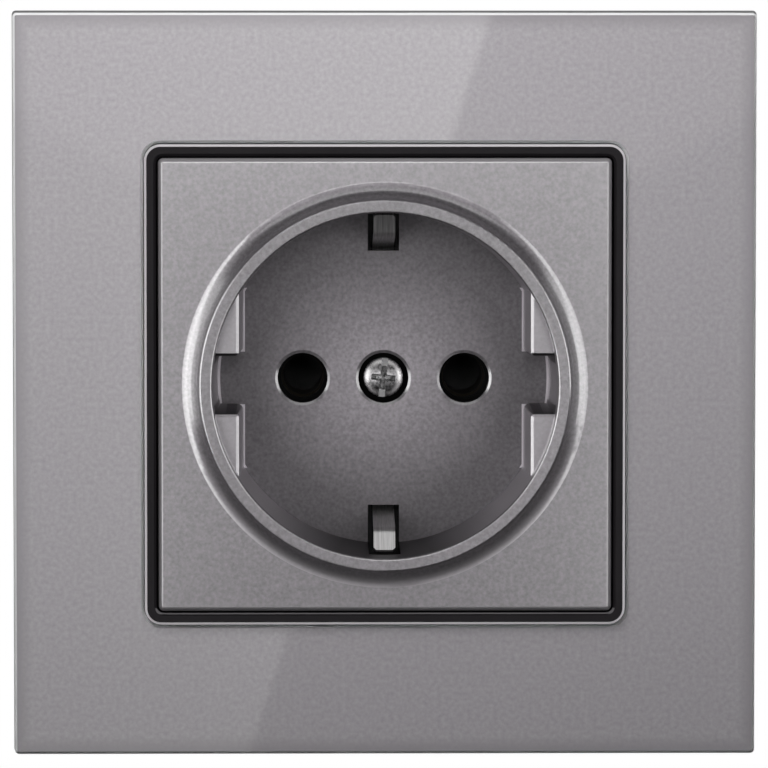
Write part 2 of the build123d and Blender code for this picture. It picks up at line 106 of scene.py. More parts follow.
def axes(owner, coordinates="Object"):
    """X, Y and Z at each point, in metres for an object's own coordinates."""
    place = add_node(owner, "ShaderNodeTexCoord")
    split = add_node(owner, "ShaderNodeSeparateXYZ")
    join(owner, place.outputs[coordinates], split.inputs["Vector"])
    return split.outputs["X"], split.outputs["Y"], split.outputs["Z"]


def distance(owner, first, second):
    """How far a point is from an axis, from its two coordinates across that axis."""
    squares = [compute(owner, "MULTIPLY", value, value) for value in (first, second)]
    return compute(owner, "SQRT", compute(owner, "ADD", *squares))


print("helpers for nodes ready")


# %% Helpers for masks
def beyond(owner, value, limit, edge=0.02 * MM):
    """1 where a value is past a limit and 0 before it."""
    return spread(owner, value, 0, 1, limit - edge, limit + edge)


def within(owner, value, limit, edge=0.02 * MM):
    """1 where a value is short of a limit and 0 past it."""
    return spread(owner, value, 1, 0, limit - edge, limit + edge)


def both(owner, first, *others):
    """Where all these masks overlap."""
    for mask in others:
        first = compute(owner, "MULTIPLY", first, mask)
    return first


def either(owner, first, *others):
    """Where any of these masks is."""
    for mask in others:
        first = compute(owner, "MAXIMUM", first, mask)
    return first


def band(owner, value, start, end, edge=0.02 * MM):
    """1 where a value lies between two limits and 0 outside them."""
    return both(owner, beyond(owner, value, start, edge), within(owner, value, end, edge))


print("helpers for masks ready")

# %% [markdown]
# ## World
# The background is plain white. Light Path tells the world which kind of ray asks: the camera, and
# reflections in metal and glass, see full white, while matt surfaces get a weak fill, stronger from above.

# %% World
FILL = 0.05
FILL_FROM_BELOW = 0.3 * FILL
FILL_FROM_ABOVE = 1.7 * FILL
world = bpy.data.worlds.new("white_room")
bpy.context.scene.world = world
world.use_nodes = True
background = world.node_tree.nodes["Background"]
background.inputs["Color"].default_value = (1, 1, 1, 1)
ray = add_node(world, "ShaderNodeLightPath")
sees_white = either(
    world, ray.outputs["Is Camera Ray"], ray.outputs["Is Glossy Ray"], ray.outputs["Is Transmission Ray"]
)
height = axes(world, "Generated")[2]
fill_level = spread(world, height, FILL_FROM_BELOW, FILL_FROM_ABOVE, -1, 1)
join(world, spread(world, sees_white, fill_level, 1), background.inputs["Strength"])
print("world fill", FILL)

# %% [markdown]
# ## Floor and cards
# The floor is a pale disc below the socket that keeps its shadow and fades to the white background. A plane
# with a hard edge would do as well, but its edge would show from above.

# %% Floor
FLOOR_HEIGHT = -75 * MM
FLOOR_RADIUS = 0.3
FADE_START = 0.06
FADE_END = 0.17
LEAST_WHITE = 0.65
floor_mesh = bpy.data.meshes.new("floor")
made = bmesh.new()
bmesh.ops.create_circle(made, cap_ends=True, segments=96, radius=FLOOR_RADIUS)
bmesh.ops.translate(made, verts=made.verts, vec=(0, 0, FLOOR_HEIGHT))
made.to_mesh(floor_mesh)
made.free()
floor = bpy.data.objects.new("floor", floor_mesh)
bpy.context.scene.collection.objects.link(floor)
floor_finish = bpy.data.materials.new("pale_floor")
floor_finish.use_nodes = True
floor_shader = floor_finish.node_tree.nodes["Principled BSDF"]
floor_shader.inputs["Base Color"].default_value = (0.9, 0.9, 0.9, 1)
floor_shader.inputs["Roughness"].default_value = 0.9
floor_white = add_node(floor_finish, "ShaderNodeEmission")
floor_mix = add_node(floor_finish, "ShaderNodeMixShader")
x, y, z = axes(floor_finish)
fade = spread(floor_finish, distance(floor_finish, x, y), LEAST_WHITE, 1, FADE_START, FADE_END, True)
join(floor_finish, fade, floor_mix.inputs["Fac"])
join(floor_finish, floor_shader.outputs["BSDF"], floor_mix.inputs[1])
join(floor_finish, floor_white.outputs["Emission"], floor_mix.inputs[2])
floor_output = floor_finish.node_tree.nodes["Material Output"]
join(floor_finish, floor_mix.outputs["Shader"], floor_output.inputs["Surface"])
floor.data.materials.append(floor_finish)
floor.visible_glossy = False
floor.visible_diffuse = False
print("floor at", FLOOR_HEIGHT)

# %% [markdown]
# Dark cards above, below and behind the camera and a mid-grey one on the right are seen only in reflections.
# A photographer hangs such cards round shiny things. Here they keep the top and the bottom of the round
# collar dark between its bright sides.


# %% Cards for the reflections
def dark_card(name, width, depth, glow, place):
    """A flat card of an even dark tone that only reflections see. The matrix puts it in its place."""
    finish = bpy.data.materials.new(name)
    finish.use_nodes = True
    shader = finish.node_tree.nodes["Principled BSDF"]
    shader.inputs["Base Color"].default_value = (0, 0, 0, 1)
    shader.inputs["Specular IOR Level"].default_value = 0
    shader.inputs["Emission Color"].default_value = (1, 1, 1, 1)
    shader.inputs["Emission Strength"].default_value = glow
    mesh = bpy.data.meshes.new(name)
    made = bmesh.new()
    bmesh.ops.create_grid(made, x_segments=1, y_segments=1, size=0.5)
    bmesh.ops.scale(made, verts=made.verts, vec=(width, depth, 1))
    bmesh.ops.transform(made, matrix=place, verts=made.verts)
    made.to_mesh(mesh)
    made.free()
    card = bpy.data.objects.new(name, mesh)
    bpy.context.scene.collection.objects.link(card)
    card.data.materials.append(finish)
    card.visible_camera = False
    card.visible_diffuse = False
    card.visible_shadow = False
    card.visible_transmission = False


upright = Matrix.Rotation(math.radians(90), 4, "X")
sideways = Matrix.Rotation(math.radians(90), 4, "Y")
dark_card("card_above", 1.0, 0.85, 0.02, Matrix.Translation((0, -0.375, 0.3)))
dark_card("card_below", 1.0, 0.55, 0.035, Matrix.Translation((0, -0.225, -0.13)))
dark_card("card_behind_camera", 1.1, 0.9, 0.02, Matrix.Translation((0, -0.85, 0)) @ upright)
dark_card("card_right", 0.5, 0.5, 0.37, Matrix.Translation((0.42, 0.05, 0)) @ sideways)
print("cards above, below, on the right and behind the camera")

# %% [markdown]
# ## Light
# Upright strips on both sides of the camera give the bright arcs on the left and right of the collar. They
# light reflections only, because as plain lamps they would flood the matt parts. A softbox above lights the
# top of the collar and the earth fingers, and one behind lights the back of the socket.


# %% Lamps
def softbox(name, place, aim, width, height, radiance, roll=0):
    """A rectangular lamp at a place, turned to a point. The power follows from its brightness and area."""
    data = bpy.data.lights.new(name, "AREA")
    data.shape = "RECTANGLE"
    data.size = width
    data.size_y = height
    data.energy = radiance * math.pi * width * height
    lamp = bpy.data.objects.new(name, data)
    bpy.context.scene.collection.objects.link(lamp)
    turn = (Vector(aim) - Vector(place)).to_track_quat("-Z", "Y").to_matrix().to_4x4()
    lamp.matrix_world = Matrix.Translation(place) @ turn @ Matrix.Rotation(roll, 4, "Z")
    lamp.visible_camera = False
    return lamp


CENTRE = (0, 0, 0)
STRIP_REACH = 0.65
STRIP_HEIGHT = 0.3


def beside(name, bearing, width, radiance):
    """An upright strip at a bearing from the camera's side that lights reflections only."""
    angle = math.radians(bearing)
    place = (STRIP_REACH * math.sin(angle), -STRIP_REACH * math.cos(angle), 0)
    strip = softbox(name, place, CENTRE, width, STRIP_HEIGHT, radiance)
    strip.visible_diffuse = False


beside("strip_left", -22, 0.32, 3.25)
beside("strip_right", 20, 0.27, 2.45)
beside("side_left", -52, 0.34, 1.45)
beside("side_right", 48, 0.37, 1.05)
softbox("top_softbox", (0, -0.2, 0.2), CENTRE, 0.3, 0.15, 0.85)
softbox("back_softbox", (0.25, 0.6, 0.35), CENTRE, 0.5, 0.5, 1.5)
print("softboxes and strips placed")

# %% [markdown]
# The panel and the plate are brighter at the top. A spot above the camera with a soft edge, aimed over the
# socket, falls off down the front in the same way.

# %% Graduated lamp above the camera
SPOT_PLACE = Vector((0, -0.64, 0.145))
SPOT_AIM = Vector((0, 0, 0.09))
SPOT_ANGLE = math.radians(28)
SPOT_SOFTNESS = 0.085


def graduated(name, power):
    """A soft spot above the camera whose light falls off down the front."""
    data = bpy.data.lights.new(name, "SPOT")
    data.energy = power
    data.spot_size = SPOT_ANGLE
    data.spot_blend = 1
    data.shadow_soft_size = SPOT_SOFTNESS
    lamp = bpy.data.objects.new(name, data)
    bpy.context.scene.collection.objects.link(lamp)
    turn = (SPOT_AIM - SPOT_PLACE).to_track_quat("-Z", "Y").to_matrix().to_4x4()
    lamp.matrix_world = Matrix.Translation(SPOT_PLACE) @ turn
    lamp.visible_camera = False
    return lamp


graduated("graduated_lamp", 2.0)
print("graduated lamp at", tuple(SPOT_PLACE))

# %% [markdown]
# The glass mirrors the straight slanted edge of a white card beside the camera. Where that card has to
# stand follows from the mirror law, from the two ends of its edge on the glass. It is brightest at its
# upper right, so its light fades across its own width and height.

# %% Card mirrored in the glass
glass_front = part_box("glass_panel")[0].y
CARD_DEPTH = -0.66
EDGE_TOP = (12.25 * MM, 42.5 * MM)
EDGE_BOTTOM = (-15.5 * MM, -42.1 * MM)
CARD_WIDTH = 0.16
CARD_HEIGHT = 0.36
CARD_RADIANCE = 2.5
CARD_DIM_SIDE = 0.1
CARD_DIM_BOTTOM = 0.2


def mirrored(point):
    """Where a point of the glass, seen by the camera, mirrors to at the depth of the card."""
    reach = (CARD_DEPTH - glass_front) / (camera.location.y - glass_front)
    x, z = point
    return Vector((x + (x - camera.location.x) * reach, CARD_DEPTH, z + (z - camera.location.z) * reach))


top = mirrored(EDGE_TOP)
bottom = mirrored(EDGE_BOTTOM)
along = (top - bottom).normalized()
slant = math.atan2(along.x, along.z)
middle = (top + bottom) / 2 + Vector((-along.z, 0, along.x)) * CARD_WIDTH / 2
ahead = middle + Vector((0, 1, 0))
card = softbox("slanted_card", middle, ahead, CARD_WIDTH, CARD_HEIGHT, CARD_RADIANCE, -slant)
card.visible_diffuse = False
card.data.use_nodes = True
place = add_node(card.data, "ShaderNodeNewGeometry")
split = add_node(card.data, "ShaderNodeSeparateXYZ")
join(card.data, place.outputs["Parametric"], split.inputs["Vector"])
level = both(
    card.data,
    spread(card.data, split.outputs["X"], CARD_DIM_SIDE, 1),
    spread(card.data, split.outputs["Y"], CARD_DIM_BOTTOM, 1),
)
join(card.data, level, card.data.node_tree.nodes["Emission"].inputs["Strength"])
print("card edge leans", round(math.degrees(slant), 1), "degrees")

# %% [markdown]
# Two more lamps serve the glass: a key at the upper left that throws the bezel's soft shadow, and a second
# graduated lamp without reflections. A front lamp without reflections brightens the bezel's bevel. Light
# linking keeps each of these, and the card, on one piece alone. Real lamps can't do that, so in another
# scene the glass and the bezel look plainer.

# %% Lamps for the glass and the bezel alone
KEY_PLACE = (-0.2, -0.24, 0.38)
FRONT_PLACE = (0, -0.64, 0.08)
key = softbox("key_upper_left", KEY_PLACE, CENTRE, 0.2, 0.2, 9)
wash = graduated("graduated_for_glass", 8.9)
wash.visible_glossy = False
glass_only = bpy.data.collections.new("lit_glass")
glass_only.objects.link(nodes["glass_panel"])
for lamp in (card, key, wash):
    lamp.light_linking.receiver_collection = glass_only
bezel_only = bpy.data.collections.new("lit_bezel")
bezel_only.objects.link(nodes["window_bezel"])
edge_lamp = softbox("front_for_bezel", FRONT_PLACE, CENTRE, 0.2, 0.2, 34)
edge_lamp.visible_glossy = False
edge_lamp.light_linking.receiver_collection = bezel_only
print("three lamps on the glass alone and one on the bezel alone")

# %% [markdown]
# ## Finishes
# Each material is made of shader nodes on the object's own coordinates, so its grain keeps its size in
# millimetres and stays in place when the model is used elsewhere.


# %% Helpers for finishes
def start_finish(name, colour, metallic, roughness):
    """A new material with the plain values set on its shader."""
    finish = bpy.data.materials.new(name)
    finish.use_nodes = True
    shader = finish.node_tree.nodes["Principled BSDF"]
    shader.inputs["Base Color"].default_value = (*colour, 1)
    shader.inputs["Metallic"].default_value = metallic
    shader.inputs["Roughness"].default_value = roughness
    return finish, shader


def wear(finish, names):
    """Give a finish to some of the solids."""
    for name in names:
        nodes[name].material_slots[0].material = finish
    print(finish.name, "on", ", ".join(names))


def grain(finish, size, detail=2.0, stretch=(1, 1, 1)):
    """Noise with grains of this size in metres, spread over 0 to 1."""
    place = add_node(finish, "ShaderNodeTexCoord")
    turn = add_node(finish, "ShaderNodeMapping", {"Scale": stretch})
    noise = add_node(finish, "ShaderNodeTexNoise", {"Scale": 1 / size, "Detail": detail})
    join(finish, place.outputs["Object"], turn.inputs["Vector"])
    join(finish, turn.outputs["Vector"], noise.inputs["Vector"])
    return spread(finish, noise.outputs["Fac"], 0, 1, 0.25, 0.75)


def blend(finish, factor, first, second):
    """Mix two colours by a value. Each is a constant or the output of a node."""
    node = add_node(finish, "ShaderNodeMix", data_type="RGBA")
    join(finish, factor, node.inputs[0])
    for socket, colour in ((node.inputs[6], first), (node.inputs[7], second)):
        if isinstance(colour, tuple):
            socket.default_value = (*colour, 1)
        else:
            join(finish, colour, socket)
    return node.outputs[2]


def relief(finish, shader, pattern, depth):
    """Bump of this depth in metres from a pattern of 0 to 1."""
    bump = add_node(finish, "ShaderNodeBump", {"Strength": 1.0, "Distance": depth})
    join(finish, pattern, bump.inputs["Height"])
    join(finish, bump.outputs["Normal"], shader.inputs["Normal"])


print("helpers for finishes ready")

# %% [markdown]
# ### Cover
# The cover is a grey moulding sprayed with metallic paint. Fine flakes in the paint make it speckled and
# give it a broad sheen, and a clear lacquer adds the sharp highlights on the collar. Masks on the solid's
# coordinates say where each tone is, which needs no painting by hand. The first are the bare places: the
# holes and slots and all that is behind the plate, where no spray goes and the moulding is black.

# %% Bare places of the cover
FLOOR_FRONT = 5.15 * MM
PLATE_BACK = -7.95 * MM
HOLE_BEVEL_DEPTH = 0.12 * MM
SLOT_HALF_WIDTH = 1.8 * MM
SLOT_START = 15.0 * MM
POT_INSIDE = 20.2 * MM
SKIN = 0.03 * MM
METALLIC = 0.7
PAINT_ROUGHNESS = 0.5
cover_paint, cover_shader = start_finish("grey_cover_paint", (0.31, 0.29, 0.31), METALLIC, PAINT_ROUGHNESS)
x, y, z = axes(cover_paint)
radius = distance(cover_paint, x, z)
across = compute(cover_paint, "ABSOLUTE", x)
upright_reach = compute(cover_paint, "ABSOLUTE", z)
behind_plate = beyond(cover_paint, y, PLATE_BACK + SKIN)
in_hole = beyond(cover_paint, y, FLOOR_FRONT + HOLE_BEVEL_DEPTH + SKIN)
outside_pot = both(cover_paint, beyond(cover_paint, radius, POT_INSIDE), behind_plate)
in_slot = both(
    cover_paint,
    within(cover_paint, across, SLOT_HALF_WIDTH + SKIN),
    beyond(cover_paint, upright_reach, SLOT_START - SKIN),
    behind_plate,
)
bare = either(cover_paint, in_hole, outside_pot, in_slot)
print("bare places of the cover marked")

# %% [markdown]
# The well has a flat floor with bevelled pin holes and a round wall. Its lower wall is darkened in the
# paint as painted shade, more so the lower it is.

# %% Floor and wall of the well
RIM_FRONT = -12.35 * MM
WALL_START = 18.6 * MM
WALL_TOP = RIM_FRONT + 0.4 * MM
WALL_END = FLOOR_FRONT - 0.1 * MM
FLOOR_BACK = FLOOR_FRONT + 0.02 * MM
SHARP = 0.01 * MM
LOW_WALL_SHADE = 0.9
in_pot = within(cover_paint, radius, POT_INSIDE)
on_floor = both(
    cover_paint,
    beyond(cover_paint, y, FLOOR_FRONT - 0.05 * MM),
    within(cover_paint, y, FLOOR_BACK, SHARP),
    in_pot,
)
on_hole_bevel = both(
    cover_paint, beyond(cover_paint, y, FLOOR_BACK, SHARP), within(cover_paint, radius, SLOT_START)
)
on_wall = both(
    cover_paint,
    band(cover_paint, y, WALL_TOP, WALL_END),
    band(cover_paint, radius, WALL_START, POT_INSIDE),
)
# Painted shade: the lower wall of the well is darkened, more so the lower it is.
low_wall_shade = both(cover_paint, on_wall, spread(cover_paint, z, LOW_WALL_SHADE, 0, -19 * MM, -14 * MM))
print("floor and wall of the well marked")

# %% [markdown]
# The collar rises from the plate in a cove to a flat rim. Its lacquer fades at the outer edge of the cove and
# over the top of it, where a coat would mirror the lamps too brightly. The lower cove is painted a little
# lighter, as painted light. The rounded edge of the plate is matt and painted lighter too, as painted light.

# %% Collar and edge of the plate
COVE_EDGE = 22.6 * MM
COLLAR = 23.35 * MM
COVE_END_LENGTH = 0.6 * MM
COVE_END_MATT = 0.5
COVE_LOW_PAINTED_LIGHT = 0.6
PLATE_EDGE = 25.6 * MM
in_collar = within(cover_paint, radius, COLLAR)
cove_end = both(
    cover_paint, spread(cover_paint, radius, 0, COVE_END_MATT, COLLAR - COVE_END_LENGTH, COLLAR), in_collar
)
# Painted light: the lower cove is made lighter.
cove_low_painted_light = both(
    cover_paint,
    spread(cover_paint, radius, 0, 1, 21.7 * MM, 22.5 * MM),
    in_collar,
    spread(cover_paint, z, COVE_LOW_PAINTED_LIGHT, 0, -16 * MM, -6 * MM),
)
cove_top = both(
    cover_paint,
    beyond(cover_paint, radius, COVE_EDGE, 0.3 * MM),
    within(cover_paint, radius, COLLAR, 0.1 * MM),
    spread(cover_paint, z, 0, 1, 14 * MM, 20 * MM),
)
on_rim = within(cover_paint, y, RIM_FRONT + 0.25 * MM, 0.05 * MM)
plate_reach = compute(cover_paint, "MAXIMUM", across, upright_reach)
# The plate's rounded edge is matt and also gets a lighter tone as painted light.
plate_edge = beyond(cover_paint, plate_reach, PLATE_EDGE, 0.1 * MM)
print("collar and edge of the plate marked")

# %% [markdown]
# Two plug guides stand on each side of the well with a gap between them. Each has a front with a bevel, a
# side that faces the middle, and an end at the gap. A painted shadow line runs along the lower end of the
# upper ones, and a painted highlight line marks the foot of guides and wall on the floor.

# %% Plug guides
GUIDE_FRONT = -9.75 * MM
GUIDE_FOOT = 16.5 * MM
GUIDE_SIDE = GUIDE_FOOT - 0.3 * MM
GUIDE_BEVEL_END = 17.15 * MM
GUIDE_REACH = 10.6 * MM
GAP_START = 2.4 * MM
GAP_END = 3.4 * MM
END_SHADOW_LINE = 3.65 * MM
FOOT_START = 3.1 * MM
FOOT_HIGHLIGHT_WIDTH = 0.22 * MM
WALL_FOOT = 19.45 * MM
WALL_FOOT_HIGHLIGHT_WIDTH = 0.25 * MM
guide_height = within(cover_paint, upright_reach, GUIDE_REACH)
on_guide = both(
    cover_paint,
    band(cover_paint, y, GUIDE_FRONT - 0.1 * MM, GUIDE_FRONT + 0.12 * MM, 0.05 * MM),
    in_pot,
    guide_height,
)
guide_bevel = both(cover_paint, on_guide, within(cover_paint, across, GUIDE_BEVEL_END))
guide_side = both(
    cover_paint,
    band(cover_paint, across, GUIDE_SIDE, GUIDE_BEVEL_END),
    band(cover_paint, y, GUIDE_FRONT + 0.15 * MM, WALL_END),
    guide_height,
)
guide_end = both(
    cover_paint,
    band(cover_paint, upright_reach, GAP_START, GAP_END),
    beyond(cover_paint, across, GUIDE_SIDE),
    band(cover_paint, y, GUIDE_FRONT + 0.05 * MM, WALL_END),
    in_pot,
)
# Painted shadow: a dark line along the lower end of the upper guides.
end_shadow_line = both(cover_paint, on_guide, band(cover_paint, z, GAP_START, END_SHADOW_LINE))
# Painted highlight: a light line along the feet of the guides and the wall on the floor.
guide_foot_highlight = both(
    cover_paint,
    beyond(cover_paint, across, GUIDE_FOOT - FOOT_HIGHLIGHT_WIDTH),
    beyond(cover_paint, upright_reach, FOOT_START),
)
wall_foot_highlight = beyond(cover_paint, radius, WALL_FOOT - WALL_FOOT_HIGHLIGHT_WIDTH)
foot_highlight = both(cover_paint, either(cover_paint, guide_foot_highlight, wall_foot_highlight), guide_height, on_floor)
print("plug guides marked")

# %% [markdown]
# The floor gets darker towards its edge, and so do the lower wall, the rim and the ends of the guides: this
# is painted shade, which lamps could give. The rest of the wall, the inner sides and fronts of the guides,
# the lower cove and the plate's edge are painted lighter as painted light. These tones are in the paint,
# which is easier to match, but they stay the same under other light.

# %% Colour of the cover
FLAKE_SIZE = 0.42 * MM
PAINT_DARK = (0.235, 0.22, 0.235)
PAINT_LIGHT = (0.385, 0.36, 0.385)
GUIDE_PAINTED_LIGHT_TONE = (0.42, 0.395, 0.42)
FOOT_HIGHLIGHT_TONE = (0.5, 0.47, 0.5)
WALL_PAINTED_LIGHT_TONE = (0.72, 0.68, 0.72)
COVE_PAINTED_LIGHT_TONE = (0.6, 0.57, 0.6)
PLATE_EDGE_PAINTED_LIGHT_TONE = (0.72, 0.69, 0.72)
SHADE_TONE = (0.03, 0.029, 0.03)
BARE_BLACK = (0.004, 0.004, 0.004)
FLOOR_SHADE = 0.61
RIM_SHADE = 0.12
GUIDE_PAINTED_LIGHT = 0.6
WALL_PAINTED_LIGHT = 0.9
flakes = grain(cover_paint, FLAKE_SIZE, 4.0)
# Painted shade: the floor darker towards its edge, the rim a little darker, the guide ends darker.
floor_shade = both(cover_paint, on_floor, spread(cover_paint, radius, 0, FLOOR_SHADE, 3 * MM, 15 * MM))
rim_shade = both(cover_paint, on_rim, RIM_SHADE)
end_shade = both(cover_paint, guide_end, spread(cover_paint, y, 0.95, 0.45, GUIDE_FRONT, FLOOR_FRONT))
shade = either(cover_paint, floor_shade, low_wall_shade, rim_shade, end_shade, end_shadow_line)
shade = compute(cover_paint, "SUBTRACT", shade, foot_highlight)
# Painted light: the plain wall and the inner sides of the guides are made lighter.
wall_painted_light = both(cover_paint, on_wall, spread(cover_paint, on_guide, 1, 0))
inner_faces_painted_light = either(cover_paint, wall_painted_light, guide_side)
colour = blend(cover_paint, flakes, PAINT_DARK, PAINT_LIGHT)
# Painted light on the guide fronts, inner faces, lower cove and plate edge; painted shade; painted foot
# highlight.
for mask, tone in (
    (both(cover_paint, on_guide, GUIDE_PAINTED_LIGHT), GUIDE_PAINTED_LIGHT_TONE),
    (foot_highlight, FOOT_HIGHLIGHT_TONE),
    (both(cover_paint, inner_faces_painted_light, WALL_PAINTED_LIGHT), WALL_PAINTED_LIGHT_TONE),
    (cove_low_painted_light, COVE_PAINTED_LIGHT_TONE),
    (plate_edge, PLATE_EDGE_PAINTED_LIGHT_TONE),
    (shade, SHADE_TONE),
    (bare, BARE_BLACK),
):
    colour = blend(cover_paint, mask, colour, tone)
join(cover_paint, colour, cover_shader.inputs["Base Color"])
print("cover coloured")

# %% [markdown]
# The paint is partly metallic, apart from bare plastic, the bevels of the pin holes and the plate's edge. The
# lacquer is a coat, left off where the surface is matt. A low specular level keeps the bare bores black. The
# rim is slightly dished, which is bump here together with the flakes.

# %% Gloss and relief of the cover
RIM_INSIDE = 19.85 * MM
RIM_OUTSIDE = 21.35 * MM
RIM_DISH = math.tan(math.radians(6))
FLAKE_DEPTH = 0.002 * MM
BARE_ROUGHNESS = 0.8
BEVEL_MATT = 0.4
matt = either(cover_paint, bare, on_hole_bevel, plate_edge)
join(cover_paint, spread(cover_paint, matt, METALLIC, 0), cover_shader.inputs["Metallic"])
roughness = spread(cover_paint, bare, PAINT_ROUGHNESS, BARE_ROUGHNESS)
join(cover_paint, roughness, cover_shader.inputs["Roughness"])
guide_matt = either(cover_paint, both(cover_paint, guide_bevel, BEVEL_MATT), end_shadow_line, guide_end)
unlacquered = either(cover_paint, bare, on_floor, low_wall_shade, plate_edge, cove_top, cove_end, guide_matt)
join(cover_paint, spread(cover_paint, unlacquered, 1, 0), cover_shader.inputs["Coat Weight"])
cover_shader.inputs["Coat Roughness"].default_value = 0.18
cover_shader.inputs["Coat IOR"].default_value = 2.9
cover_shader.inputs["Specular IOR Level"].default_value = 0.1
rim_rise = RIM_DISH * (RIM_OUTSIDE - RIM_INSIDE)
dish = spread(cover_paint, radius, 0, rim_rise, RIM_INSIDE, RIM_OUTSIDE)
surface = compute(cover_paint, "ADD", dish, compute(cover_paint, "MULTIPLY", flakes, FLAKE_DEPTH))
relief(cover_paint, cover_shader, surface, 1.0)
wear(cover_paint, ["socket_cover"])

# %% [markdown]
# ### Glass
# The panel is clear glass with grey lacquer on its back, so it looks like an even grey under a mirror-like
# surface. Real refraction would need the lacquer as a layer of its own and many more samples, so the grey
# is the base colour and the polished surface is a coat. The bevels are painted nearly white as a painted
# highlight, the cut sides are grey-green, and within 2 mm of the edge the lacquer is darkened as painted
# shade.

# %% Glass
BEVEL = 0.3 * MM
BORDER_SHADE_WIDTH = 2.0 * MM
LACQUER_DARK = (0.325, 0.307, 0.325)
LACQUER_LIGHT = (0.43, 0.406, 0.43)
LACQUER_BORDER_SHADE = (0.28, 0.265, 0.28)
BEVEL_HIGHLIGHT_WHITE = (0.85, 0.85, 0.86)
CUT_GREEN = (0.42, 0.46, 0.45)
LACQUER_METALLIC = 0.15
glass_low, glass_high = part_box("glass_panel")
glass_finish, glass_shader = start_finish("grey_glass_finish", (0.375, 0.355, 0.375), LACQUER_METALLIC, 0.5)
x, y, z = axes(glass_finish)
across = compute(glass_finish, "ABSOLUTE", x)
reach = compute(glass_finish, "MAXIMUM", across, compute(glass_finish, "ABSOLUTE", z))
speck = grain(glass_finish, 0.5 * MM, 4.0)
lacquer = blend(glass_finish, speck, LACQUER_DARK, LACQUER_LIGHT)
# Painted shade: the lacquer is darkened within 2 mm of the edge.
border_shade = spread(glass_finish, reach, 0, 1, glass_high.x - BORDER_SHADE_WIDTH, glass_high.x - BEVEL)
lacquer = blend(glass_finish, border_shade, lacquer, LACQUER_BORDER_SHADE)
# Painted highlight: the bevels are nearly white; the cut sides are grey-green.
bevel = beyond(glass_finish, y, glass_low.y + 0.02 * MM, 0.01 * MM)
side = beyond(glass_finish, y, glass_low.y + BEVEL + 0.02 * MM)
bevel_highlight_and_cut_green = blend(glass_finish, side, BEVEL_HIGHLIGHT_WHITE, CUT_GREEN)
join(glass_finish, blend(glass_finish, bevel, lacquer, bevel_highlight_and_cut_green), glass_shader.inputs["Base Color"])
join(glass_finish, spread(glass_finish, bevel, LACQUER_METALLIC, 0), glass_shader.inputs["Metallic"])
glass_shader.inputs["Coat Weight"].default_value = 1
glass_shader.inputs["Coat Roughness"].default_value = 0.02
wear(glass_finish, ["glass_panel"])

# %% [markdown]
# ### Mouldings
# The bezel is satin black, the carrier mid grey and the base dark grey. Spark-eroded moulds leave a fine
# even grain on such plastic, which is a low bump here, with a faint change of tone and gloss.


# %% Moulded plastic
def moulding(name, dark, light, roughness, gloss, size, depth, names):
    """Plastic with a moulded grain of a size and depth in metres."""
    finish, shader = start_finish(name, dark, 0, roughness)
    texture = grain(finish, size, 3.0)
    cloud = grain(finish, 6 * MM, 2.0)
    join(finish, blend(finish, both(finish, texture, cloud), dark, light), shader.inputs["Base Color"])
    join(finish, spread(finish, texture, roughness - 0.05, roughness + 0.1), shader.inputs["Roughness"])
    shader.inputs["Specular IOR Level"].default_value = gloss
    relief(finish, shader, texture, depth)
    wear(finish, names)
    return finish, shader


BLACK = ((0.005, 0.0042, 0.005), (0.009, 0.0076, 0.009))
GREY = ((0.42, 0.415, 0.42), (0.48, 0.475, 0.48))
DARK_GREY = ((0.018, 0.018, 0.019), (0.03, 0.03, 0.032))
black, bezel_shader = moulding("satin_black", *BLACK, 0.5, 0.15, 0.12 * MM, 0.004 * MM, ["window_bezel"])
moulding("carrier_grey", *GREY, 0.5, 0.5, 0.2 * MM, 0.01 * MM, ["panel_carrier"])
base, base_shader = moulding(
    "base_dark", *DARK_GREY, 0.5, 0.35, 0.25 * MM, 0.012 * MM, ["socket_base", "rear_cover"]
)

# %% [markdown]
# The pin holes look black in the photograph, but the front of the base would show in them as a grey ring.
# Near the pins the base is therefore painted black and matt, as painted shade.

# %% Shade round the pins
PIN_OFFSET = 9.5 * MM
PIN_SHADE_RADIUS = 3.3 * MM
PIN_SHADE_DEPTH = 12 * MM
x, y, z = axes(base)
beside_pin = compute(base, "SUBTRACT", compute(base, "ABSOLUTE", x), PIN_OFFSET)
from_pin = distance(base, beside_pin, z)
# Painted shade: the base is black and matt round the pins.
pin_painted_shade = both(base, within(base, from_pin, PIN_SHADE_RADIUS), within(base, y, PIN_SHADE_DEPTH))
tone = base_shader.inputs["Base Color"].links[0].from_socket
join(base, blend(base, pin_painted_shade, tone, (0.002, 0.002, 0.002)), base_shader.inputs["Base Color"])
roughness = base_shader.inputs["Roughness"].links[0].from_socket
join(base, either(base, roughness, pin_painted_shade), base_shader.inputs["Roughness"])
print("base dark round the pins at", PIN_OFFSET / MM)

# %% [markdown]
# The bevel round the bezel's outside is painted bright as a painted highlight, where the glass ends, and at
# the bottom its inner bevel is painted as a thin grey highlight line. How far a point lies outside the square
# between the corners' centres follows the rounded corners.

# %% Bevels of the bezel
BEZEL_CORNER = 1.9 * MM
BEZEL_BEVEL = 0.28 * MM
BEZEL_FACE = 1.35 * MM
INNER_HIGHLIGHT_LINE = (0.09, 0.086, 0.09)
OUTER_HIGHLIGHT_LINE = (0.5, 0.48, 0.5)
bezel_low, bezel_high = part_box("window_bezel")
x, y, z = axes(black)
straight = bezel_high.x - BEZEL_CORNER
past = []
for value in (x, z):
    outside = compute(black, "SUBTRACT", compute(black, "ABSOLUTE", value), straight)
    past.append(compute(black, "MAXIMUM", outside, 0))
outward = distance(black, *past)
in_front = within(black, y, bezel_low.y + BEZEL_BEVEL + 0.03 * MM)
